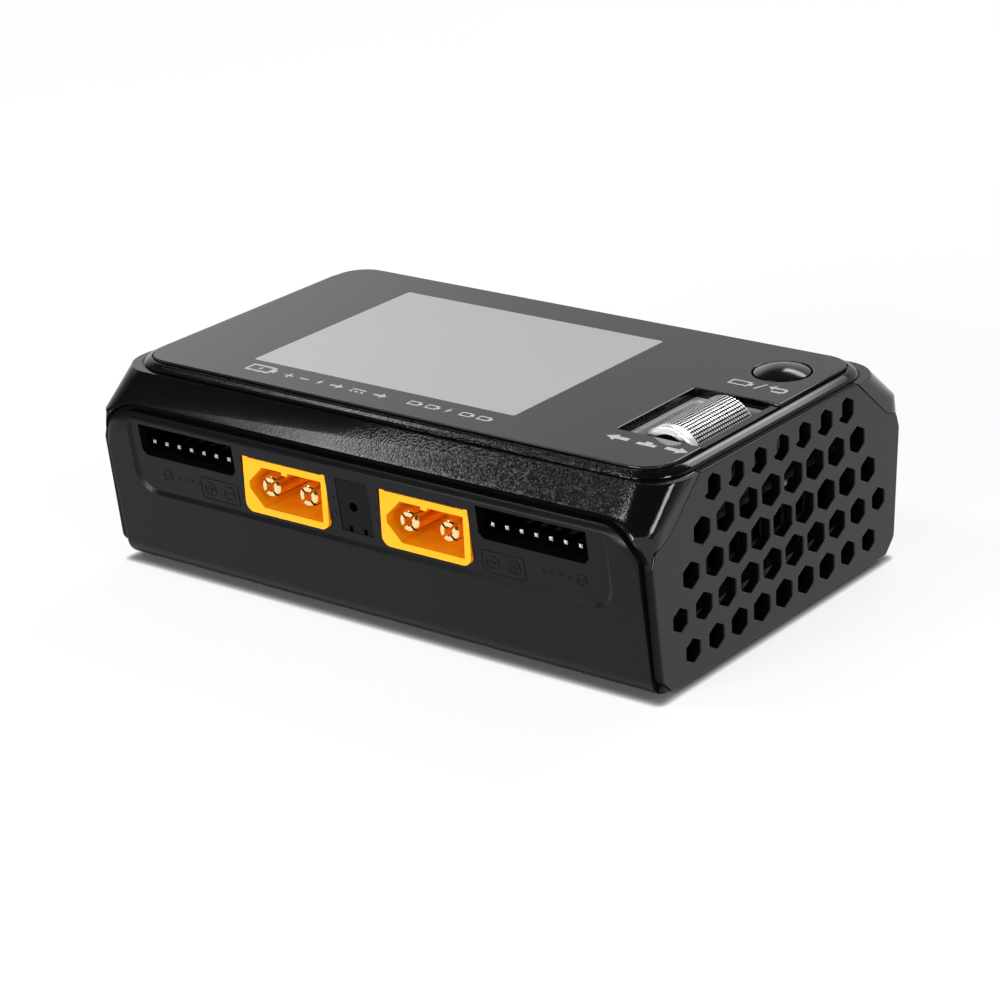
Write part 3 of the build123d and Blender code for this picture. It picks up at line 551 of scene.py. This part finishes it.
def make_roller():
    """Knurled metal sleeve, with a plain band at the front end, round a black core."""
    front = roller_low.y / MM
    rear = roller_high.y / MM
    start = front + plain_band
    pitch = (rear - 0.35 - start) / knurl_along
    floor_radius = roller_radius - knurl_depth
    vertices = []
    grid = [roller_ring(vertices, start + j * pitch, floor_radius) for j in range(knurl_along + 1)]
    tops, walls = knurl_pads(vertices, grid, start, pitch)
    nose = [(start - 0.05, roller_radius - 0.02), (front + 0.25, roller_radius - 0.02),
            (front + 0.07, roller_radius - 0.09), (front, roller_radius - 0.27), (front, 3.7),
            (front + 0.5, 3.5)]
    tail = [(rear - 0.1, floor_radius), (rear, floor_radius - 0.15), (rear, 3.6), (rear - 0.5, 3.6)]
    nose_rings = [grid[0]] + [roller_ring(vertices, y, radius) for y, radius in nose]
    tail_rings = [grid[-1]] + [roller_ring(vertices, y, radius) for y, radius in tail]
    faces = walls + tops + join_rings(nose_rings) + join_rings(tail_rings)
    sleeve = add_mesh("roller_sleeve", vertices, faces, bright_metal, smooth_angle=20)
    # the groove walls take the near-black metal as painted shade in the knurl
    sleeve.data.materials.append(groove_painted_shade)
    for face in sleeve.data.polygons[:len(walls)]:
        face.material_index = 1
    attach(sleeve, "roller")
    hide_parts("roller_wheel")
    core = lathe_y("roller_core", roller_centre.x, roller_centre.z,
                   [(front + 0.5, 0.95), (front + 0.25, 1.0), (front + 0.25, 1.9), (front + 0.42, 2.1),
                    (front + 0.42, 3.1), (front + 0.25, 3.25), (front + 0.25, 3.6), (front + 0.6, 3.6)],
                   gloss_black)
    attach(core, "roller")


def lathe_y(name, x, z, profile, material, count=64):
    """Turned form round an axis along Y; profile points are (y, radius)."""
    vertices = []
    faces = []
    for y, radius in profile:
        for k in range(count):
            angle = 2 * math.pi * k / count
            vertices.append((x + radius * math.sin(angle), y, z + radius * math.cos(angle)))
    for ring in range(len(profile) - 1):
        for k in range(count):
            n = (k + 1) % count
            here = ring * count
            after = here + count
            faces.append((here + k, here + n, after + n, after + k))
    return add_mesh(name, vertices, faces, material)


def lathe_z(name, x, y, profile, material, count=72):
    """Turned form round an upright axis; profile points are (radius, z), the ends may be at radius 0."""
    vertices = []
    faces = []
    rings = []
    for radius, z in profile:
        if radius == 0:
            vertices.append((x, y, z))
            rings.append([len(vertices) - 1] * count)
            continue
        ring = []
        for k in range(count):
            angle = 2 * math.pi * k / count
            vertices.append((x + radius * math.cos(angle), y + radius * math.sin(angle), z))
            ring.append(len(vertices) - 1)
        rings.append(ring)
    for first, second in zip(rings, rings[1:]):
        for k in range(count):
            n = (k + 1) % count
            corners = []
            for index in (first[k], first[n], second[n], second[k]):
                if index not in corners:
                    corners.append(index)
            faces.append(corners)
    return add_mesh(name, vertices, faces, material)


def make_button():
    """Domed key with a small rounded shoulder."""
    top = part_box("exit_button")[1].z / MM
    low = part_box("exit_button")[0].z / MM
    rise = 0.95                           # of the dome above its edge
    dome_radius = (button_radius ** 2 + rise ** 2) / (2 * rise)
    profile = [(0, top)]
    steps = 14
    for step in range(1, steps + 1):
        radius = (button_radius - 0.12) * step / steps
        profile.append((radius, top - dome_radius + math.sqrt(dome_radius ** 2 - radius ** 2)))
    flange_radius = button_radius + 0.9   # keeps the key under the lens
    stem_radius = 1.5
    flange_low = 28.6
    profile += [(button_radius - 0.03, lens_top - 0.02), (button_radius, lens_top - 0.15),
                (button_radius, 29.5), (flange_radius, 29.45), (flange_radius, flange_low),
                (stem_radius, flange_low), (stem_radius, low), (0, low)]
    key = lathe_z("key_dome", button_x, button_y, profile, gloss_black)
    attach(key, "exit_key")
    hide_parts("exit_button")


def arrow(x, y, direction, length=3.7, head=1.7, half=1.05, stem=0.45):
    """Outline of a solid arrow along X, anticlockwise."""
    tip = x + direction * length / 2
    tail = x - direction * length / 2
    neck = tip - direction * head
    up = direction
    return [(tip, y), (neck, y + up * half), (neck, y + up * stem), (tail, y + up * stem),
            (tail, y - up * stem), (neck, y - up * stem), (neck, y - up * half)]


def anticlockwise(points):
    """The same outline, turned round if it runs clockwise."""
    area = 0
    for before, here in zip(points[-1:] + points[:-1], points):
        area += before[0] * here[1] - here[0] * before[1]
    return points if area > 0 else points[::-1]


def bolt(x, y, size):
    """Outline of a lightning bolt."""
    points = [(0.15, 1.0), (-0.45, -0.15), (-0.05, -0.15), (-0.2, -1.0), (0.45, 0.25), (0.05, 0.25)]
    return [(x + a * size, y + b * size) for a, b in points]


def cross(x, y, arm, half):
    """Outline of a plus sign."""
    points = [(arm, -half), (arm, half), (half, half), (half, arm), (-half, arm), (-half, half),
              (-arm, half), (-arm, -half), (-half, -half), (-half, -arm), (half, -arm), (half, -half)]
    return [(x + a, y + b) for a, b in points]


def bar(x, y, length, width):
    """Outline of a minus sign."""
    return rectangle(x - length / 2, x + length / 2, y - width / 2, y + width / 2)


def battery(x, y, length, height, line):
    """Outline and opening of a battery sign with its terminal on the right."""
    nub = height * 0.25
    left = x - length / 2
    right = x + length / 2
    end = right + line * 1.6
    low = y - height / 2
    high = y + height / 2
    outside = [(left, low), (right, low), (right, y - nub), (end, y - nub),
               (end, y + nub), (right, y + nub), (right, high), (left, high)]
    inside = rectangle(left + line, right - line, low + line, high - line)
    return outside, inside


def back_arrow(x, y, size):
    """Outline of a bent arrow that turns back to the left."""
    points = [(-1.3, 0.35), (-0.5, 1.0), (-0.5, 0.55), (0.9, 0.55), (1.3, 0.2), (1.3, -0.5), (0.9, -0.85),
              (-0.4, -0.85), (-0.4, -0.5), (0.75, -0.5), (0.95, -0.35), (0.95, 0.05), (0.75, 0.2),
              (-0.5, 0.2), (-0.5, -0.3)]
    return [(x + a * size, y + b * size) for a, b in points]


def print_mark(name, outline, holes=()):
    """A sign in ink on the lens, a hundredth of a millimetre thick."""
    outline = anticlockwise(outline)
    holes = [anticlockwise(hole) for hole in holes]
    mark = plate(name, outline, holes, lens_top - 0.02, lens_top + 0.012, 0.005, [ink])
    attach(mark, "case")


def make_marks():
    """Printed signs: turn left, press, turn right, and plain signs for batteries, charge and going back."""
    print_mark("mark_left", arrow(35.45, -17.6, -1))
    print_mark("mark_press", [(38.9, -18.3), (42.0, -18.3), (42.0, -17.5), (41.0, -17.5), (41.0, -16.9),
                              (39.9, -16.9), (39.9, -17.5), (38.9, -17.5)])
    print_mark("mark_right", arrow(45.25, -17.6, 1))
    outside, inside = battery(37.7, 9.2, 3.3, 1.8, 0.3)
    print_mark("mark_key_battery", outside, [inside])
    print_mark("mark_key_slash", [(40.6, 8.1), (40.95, 8.1), (41.75, 10.3), (41.4, 10.3)])
    print_mark("mark_key_back", back_arrow(44.0, 9.2, 1.3))
    outside, inside = battery(-27.4, -20.6, 4.6, 2.5, 0.45)
    print_mark("mark_pack", outside, [inside])
    print_mark("mark_pack_bolt", bolt(-27.4, -20.6, 0.75))
    row_y = -20.9
    signs = {
        "mark_row_plus": cross(-21.6, row_y, 0.8, 0.17),
        "mark_row_minus": bar(-18.6, row_y, 1.6, 0.34),
        "mark_row_bolt": bolt(-15.6, row_y, 1.0),
        "mark_row_in": arrow(-12.4, row_y, 1, length=2.4, head=1.0, half=0.8, stem=0.2),
        "mark_row_line": bar(-8.3, row_y + 0.35, 2.6, 0.32),
        "mark_row_dash_a": bar(-9.3, row_y - 0.45, 0.6, 0.32),
        "mark_row_dash_b": bar(-8.3, row_y - 0.45, 0.6, 0.32),
        "mark_row_dash_c": bar(-7.3, row_y - 0.45, 0.6, 0.32),
        "mark_row_out": arrow(-4.2, row_y, 1, length=2.4, head=1.0, half=0.8, stem=0.2),
        "mark_row_bolt_b": bolt(8.4, row_y, 1.0),
    }
    for name, outline in signs.items():
        print_mark(name, outline)
    for index, x in enumerate((2.2, 5.4, 11.6, 14.8)):
        outside, inside = battery(x, row_y, 2.0, 1.4, 0.26)
        print_mark("mark_row_pack_%d" % index, outside, [inside])


# ---------------------------------------------------------------- raised signs on the front wall
wall_lean = 0.122
wall_base = (-30.15, 0.8)     # y and z where the front wall starts
recess_depth = 0.4


def front_frame():
    """Matrix from (along, up the wall, out of the wall) to the object, on the floor of the recess."""
    lean = math.hypot(1, wall_lean)
    out = Vector((0, -1, -wall_lean)) / lean
    up = Vector((0, -wall_lean, 1)) / lean
    base_y, base_z = wall_base
    base = Vector((0, base_y + wall_lean * base_z, 0)) - out * recess_depth
    matrix = Matrix((Vector((1, 0, 0)), up, out)).transposed().to_4x4()
    matrix.translation = base
    return matrix


def raised_mark(name, outline, holes=()):
    """A low moulded sign; x and z are as seen from the front."""
    lean = math.hypot(1, wall_lean)
    outline = anticlockwise([(x, z * lean) for x, z in outline])
    holes = [anticlockwise([(x, z * lean) for x, z in hole]) for hole in holes]
    mark = plate(name, outline, holes, -0.05, 0.10, 0.05, [satin_black], to_world=front_frame())
    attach(mark, "case")


def raised_polarity(name, x, z, first, second):
    """A frame round two ringed signs, for the two pins of an output."""
    outside = rounded_corners(rectangle(x - 3.8, x + 3.8, z - 1.8, z + 1.8), 0.5, steps=3)
    inside = rounded_corners(rectangle(x - 3.6, x + 3.6, z - 1.6, z + 1.6), 0.35, steps=3)
    raised_mark(name + "_frame", outside, [inside])
    for side, sign in ((-1, first), (1, second)):
        place = x + side * 1.9
        raised_mark(name + "_ring_" + sign, circle(place, z, 1.15, 28), [circle(place, z, 0.93, 28)])
        shape = cross(place, z, 0.6, 0.12) if sign == "plus" else bar(place, z, 1.2, 0.24)
        raised_mark(name + "_" + sign, shape)


def make_raised_marks():
    raised_polarity("output_right", 25.4, 15.8, "minus", "plus")
    raised_polarity("output_left", -27.3, 16.1, "plus", "minus")
    for name, x in (("balance_left", -37.8), ("balance_right", 38.9)):
        raised_mark(name + "_ring", circle(x, 16.6, 0.95, 26), [circle(x, 16.6, 0.73, 26)])
        raised_mark(name + "_bar", bar(x, 16.6, 0.9, 0.2))
        for step in range(4):
            dot_x = x - 6.6 + step * 1.5 if x > 0 else x + 2.4 + step * 1.3
            raised_mark("%s_dot_%d" % (name, step), circle(dot_x, 16.6, 0.28, 12))
    for side in (-1, 1):
        for step, z in enumerate((17.6, 19.9)):
            x = -0.8 + side * 3.95
            raised_mark("insert_dot_%d_%d" % (side + 1, step), circle(x, z, 0.34, 14))


# ---------------------------------------------------------------- side grilles
vent_pitch = 5.66             # between vents in a row
vent_row = 5.56               # between rows
vent_mid_z = 16.7
vent_rows = ((2, 7), (1, 8), (0, 9), (-1, 10), (-2, 9))     # row, count of vents
vent_small = 1.8              # radius far from the middle
vent_growth = 0.75            # how much larger the middle one is
vent_stretch = 1.08           # wider than a regular hexagon
vent_corner = 0.35
top_row = 2
top_vent_z = 27.6
top_vent_radius = 2.0
web_edge = -1.1               # the web behind the top row covers each vent's lower part on one side
web_foot = -0.6
side_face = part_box("side_grille_right")[1].x / MM
side_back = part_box("side_grille_right")[0].x / MM


def vent_corners(radius, webbed):
    """Corners of a pointed-top hexagon round its own middle; a webbed one loses a strip at its side."""
    wide = vent_stretch * radius * math.cos(math.radians(30))
    half = radius / 2
    if not webbed:
        return [(wide, -half), (wide, half), (0, radius), (-wide, half), (-wide, -half), (0, -radius)]
    slope = half / wide
    return [(wide, -half), (wide, half), (0, radius), (web_edge, radius + web_edge * slope),
            (web_edge, web_foot), (-wide, web_foot), (-wide, -half), (0, -radius)]


def vent_outlines():
    """Hexagons that shrink away from the middle; the top row is cut by a web."""
    outlines = []
    for row, count in vent_rows:
        webbed = row == top_row
        z = top_vent_z if webbed else vent_mid_z + row * vent_row
        for index in range(count):
            y = (index - (count - 1) / 2) * vent_pitch
            distance = (y / 27.0) ** 2 + ((z - vent_mid_z) / 17.0) ** 2
            radius = top_vent_radius if webbed else vent_small + vent_growth * max(0.0, 1 - distance)
            corners = [(y + a, z + b) for a, b in vent_corners(radius, webbed)]
            outlines.append(rounded_corners(corners, vent_corner, steps=3))
    return outlines


def make_grille(name, node, direction):
    """Honeycomb plate with chamfered edges, for the right end (1) or the left end (-1)."""
    top = 30.65
    right = [(19.9, top), (27.9, 23.75), (30.75, 22.8), (31.5, 20.5), (29.9, 3.6), (27.6, 1.4)]
    corners = [(-y, z) for y, z in right] + [(y, z) for y, z in reversed(right)]
    radii = [0.6, 1.5, 1.2, 1.5, 1.6, 0.8, 0.8, 1.6, 1.5, 1.2, 1.5, 0.6]
    outside = anticlockwise(rounded_corners(corners, radii, steps=4))
    holes = [anticlockwise(outline) for outline in vent_outlines()]
    to_world = Matrix(((0, 0, direction), (1, 0, 0), (0, 1, 0)))
    grille = plate(name, outside, holes, side_back, side_face, 0.16, [panel_black, vent_dark],
                   to_world=to_world, wall_index=1)
    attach(grille, "case")
    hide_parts(node)


# ---------------------------------------------------------------- stage
painted_shadow_half = {"X": 0.0490, "Y": 0.0290}     # half size of the painted shadow under the case, in metres
shade_width = 0.0018                         # and the width of its soft border
floor_strength = 0.79


def floor_glow_with_painted_shadow(surface):
    """Strength of the floor's own light, with a painted shadow: none under the case, full a little way
    outside it.
    """
    axes = surface.axes()
    squares = []
    for axis, half in painted_shadow_half.items():
        reach = surface.maths("ABSOLUTE", axes[axis])
        beyond = surface.span(reach, 0.0, 1.0, half, half + 1.0)
        squares.append(surface.maths("POWER", beyond, 2.0))
    return surface.span(surface.maths("ADD", *squares), 0.0, floor_strength, 0.0, shade_width ** 2)


def make_stage():
    """A pale floor without edges, with a painted shadow under the case."""
    surface = Surface("pale_floor")
    grey = surface.span(surface.noise(6.0, 3.0), 0.34, 0.36)
    surface.drive("Base Color", grey)
    surface.set("Roughness", 0.8)
    surface.set("Specular IOR Level", 0.0)
    surface.set("Emission Color", (1, 1, 1, 1))
    surface.drive("Emission Strength", floor_glow_with_painted_shadow(surface))
    size = 6000
    floor = add_mesh("floor", [(-size, -size, 0), (size, -size, 0), (size, size, 0), (-size, size, 0)],
                     [(0, 1, 2, 3)], surface.material)


def area_light(name, place, aim, size, power):
    """A white rectangular light; place, aim and size in millimetres, power in watts."""
    light = bpy.data.lights.new(name, "AREA")
    light.shape = "RECTANGLE"
    light.size = size[0] * MM
    light.size_y = size[1] * MM
    light.energy = power
    lamp = bpy.data.objects.new(name, light)
    lamp.location = Vector(place) * MM
    lamp.rotation_mode = "QUATERNION"
    lamp.rotation_quaternion = (Vector(aim) - Vector(place)).to_track_quat("-Z", "Y")
    scene.collection.objects.link(lamp)


def sky_ramp(tree, value, start, end, low, high):
    """Smooth step in the brightness of the surroundings along one axis."""
    ramp = tree.nodes.new("ShaderNodeMapRange")
    ramp.interpolation_type = "SMOOTHSTEP"
    for label, number in (("From Min", start), ("From Max", end), ("To Min", low), ("To Max", high)):
        ramp.inputs[label].default_value = number
    tree.links.new(value, ramp.inputs["Value"])
    return ramp.outputs["Result"]


def make_light():
    """Studio surroundings, pale behind and to the left, dark overhead, and five softboxes."""
    world = bpy.data.worlds.new("studio")
    scene.world = world
    world.use_nodes = True
    tree = world.node_tree
    background = tree.nodes["Background"]
    direction = tree.nodes.new("ShaderNodeTexCoord")
    split = tree.nodes.new("ShaderNodeSeparateXYZ")
    tree.links.new(direction.outputs["Generated"], split.inputs["Vector"])
    back_wall = sky_ramp(tree, split.outputs["Y"], -0.15, 0.55, 0.05, 0.64)
    left_wall = sky_ramp(tree, split.outputs["X"], -0.55, -0.72, 1.0, 1.7)
    low_wall = sky_ramp(tree, split.outputs["Z"], 0.42, 0.64, 1.0, 0.12)
    strength = back_wall
    for factor in (left_wall, low_wall):
        product = tree.nodes.new("ShaderNodeMath")
        product.operation = "MULTIPLY"
        tree.links.new(strength, product.inputs[0])
        tree.links.new(factor, product.inputs[1])
        strength = product.outputs[0]
    tree.links.new(strength, background.inputs["Strength"])
    background.inputs["Color"].default_value = (1, 1, 1, 1)
    area_light("top", (-520, -400, 780), (0, 0, 0), (200, 260), 1.6)
    area_light("back", (-40, 700, 640), (0, 0, 20), (620, 170), 2.1)
    area_light("front", (-100, -800, 180), (0, 0, 15), (500, 240), 6.8)
    area_light("right", (700, -250, 260), (0, 0, 10), (160, 400), 0.8)
    area_light("side", (760, -60, 600), (50, 0, 15), (110, 220), 1.1)
    scene.view_settings.view_transform = "Standard"


def make_camera():
    """The main view, turned about its own axis by the roll."""
    azimuth = math.radians(camera_azimuth)
    height = math.radians(camera_height)
    roll = math.radians(camera_roll)
    back = Matrix.Rotation(azimuth, 3, "Z") @ Vector((0, -math.cos(height), math.sin(height)))
    right = (-back).cross(Vector((0, 0, 1))).normalized()
    up = right.cross(-back)
    axis_x = math.cos(roll) * right + math.sin(roll) * up
    axis_y = math.cos(roll) * up - math.sin(roll) * right
    data = bpy.data.cameras.new("camera")
    data.lens = camera_lens
    data.sensor_width = 36.0
    data.clip_start = 0.01
    camera = bpy.data.objects.new("camera", data)
    rotation = Matrix((axis_x, axis_y, back)).transposed()
    place = (Vector(camera_target) + back * camera_distance) * MM
    camera.matrix_world = Matrix.Translation(place) @ rotation.to_4x4()
    scene.collection.objects.link(camera)
    scene.camera = camera


dress_cad_nodes()
for name in ("lower_shell", "upper_housing", "top_cover"):
    soften(name, 0.16)
for name in ("output_socket_left", "output_socket_right", "input_socket"):
    soften(name, 0.14)
for name in ("output_pins_left", "output_pins_right", "input_pins"):
    soften(name, 0.08)
make_lens()
make_marks()
make_raised_marks()
make_button()
make_roller()
make_grille("grille_right", "side_grille_right", 1)
make_grille("grille_left", "side_grille_left", -1)
make_stage()
make_light()
make_camera()
